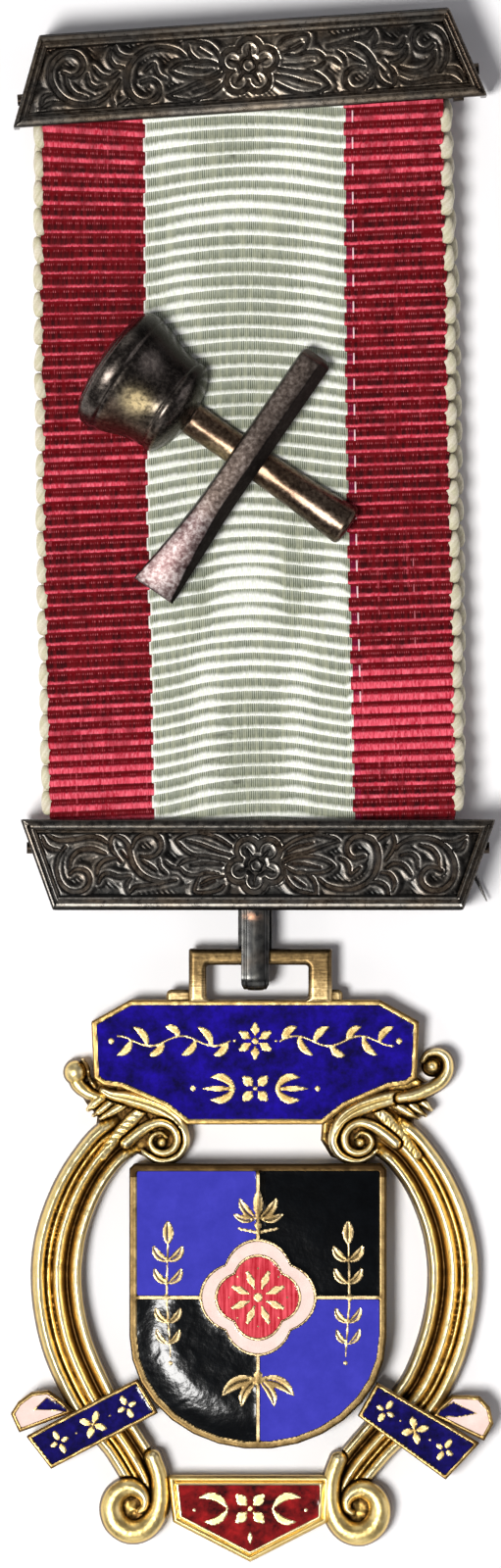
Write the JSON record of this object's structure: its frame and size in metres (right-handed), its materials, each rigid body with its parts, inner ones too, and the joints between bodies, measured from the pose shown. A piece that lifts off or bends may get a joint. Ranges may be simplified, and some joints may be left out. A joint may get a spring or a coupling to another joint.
{
  "type": "masonic jewel",
  "caption": "Breast jewel: engraved brooch bar, striped ribbon with crossed mallet and chisel, engraved lower bar and a strap loop that carries a gilt, enamelled scroll pendant.",
  "frame": {"origin": "on the surface the jewel lies on, under the middle of its outline", "axes": "+Y towards the brooch bar, +Z out of the face, +X to the right of a viewer who looks at the face"},
  "size_m": [0.0376, 0.1208, 0.0089],
  "materials": {
    "oxidised_silver": "oxidised silver, worn bright on high spots",
    "emblem_silver": "oxidised silver with bronze and yellow tarnish",
    "pin_steel": "dull steel",
    "gunmetal": "dark satin gunmetal",
    "gilt": "satin gilt with darker recesses",
    "ribbon": "ribbed watered silk, red with a pale middle stripe and cream looped edges",
    "enamel_navy": "translucent glossy enamel",
    "enamel_dark_red": "translucent glossy enamel",
    "enamel_pink_white": "glossy enamel",
    "enamel_blue": "glossy opaque enamel",
    "enamel_black": "glossy opaque enamel",
    "enamel_red": "translucent glossy enamel over engine turning"
  },
  "bodies": {
    "root": {"brooch_bar": "oxidised_silver", "brooch_pin": "pin_steel", "ribbon": "ribbon", "mallet_and_chisel": "emblem_silver", "emblem_post": "pin_steel", "suspension_bar": "oxidised_silver", "ribbon_pin": "pin_steel", "suspension_loop": "gunmetal", "pendant_frame": "gilt", "cartouche_enamel": "enamel_navy", "tablet_enamel": "enamel_dark_red", "banner_enamel_left": "enamel_navy", "banner_enamel_right": "enamel_navy", "banner_curl_left": "enamel_pink_white", "banner_curl_right": "enamel_pink_white", "shield_blue_upper": "enamel_blue", "shield_blue_lower": "enamel_blue", "shield_black_upper": "enamel_black", "shield_black_lower": "enamel_black", "shield_white_ring": "enamel_pink_white", "shield_red_centre": "enamel_red"}
  },
  "joints": []
}
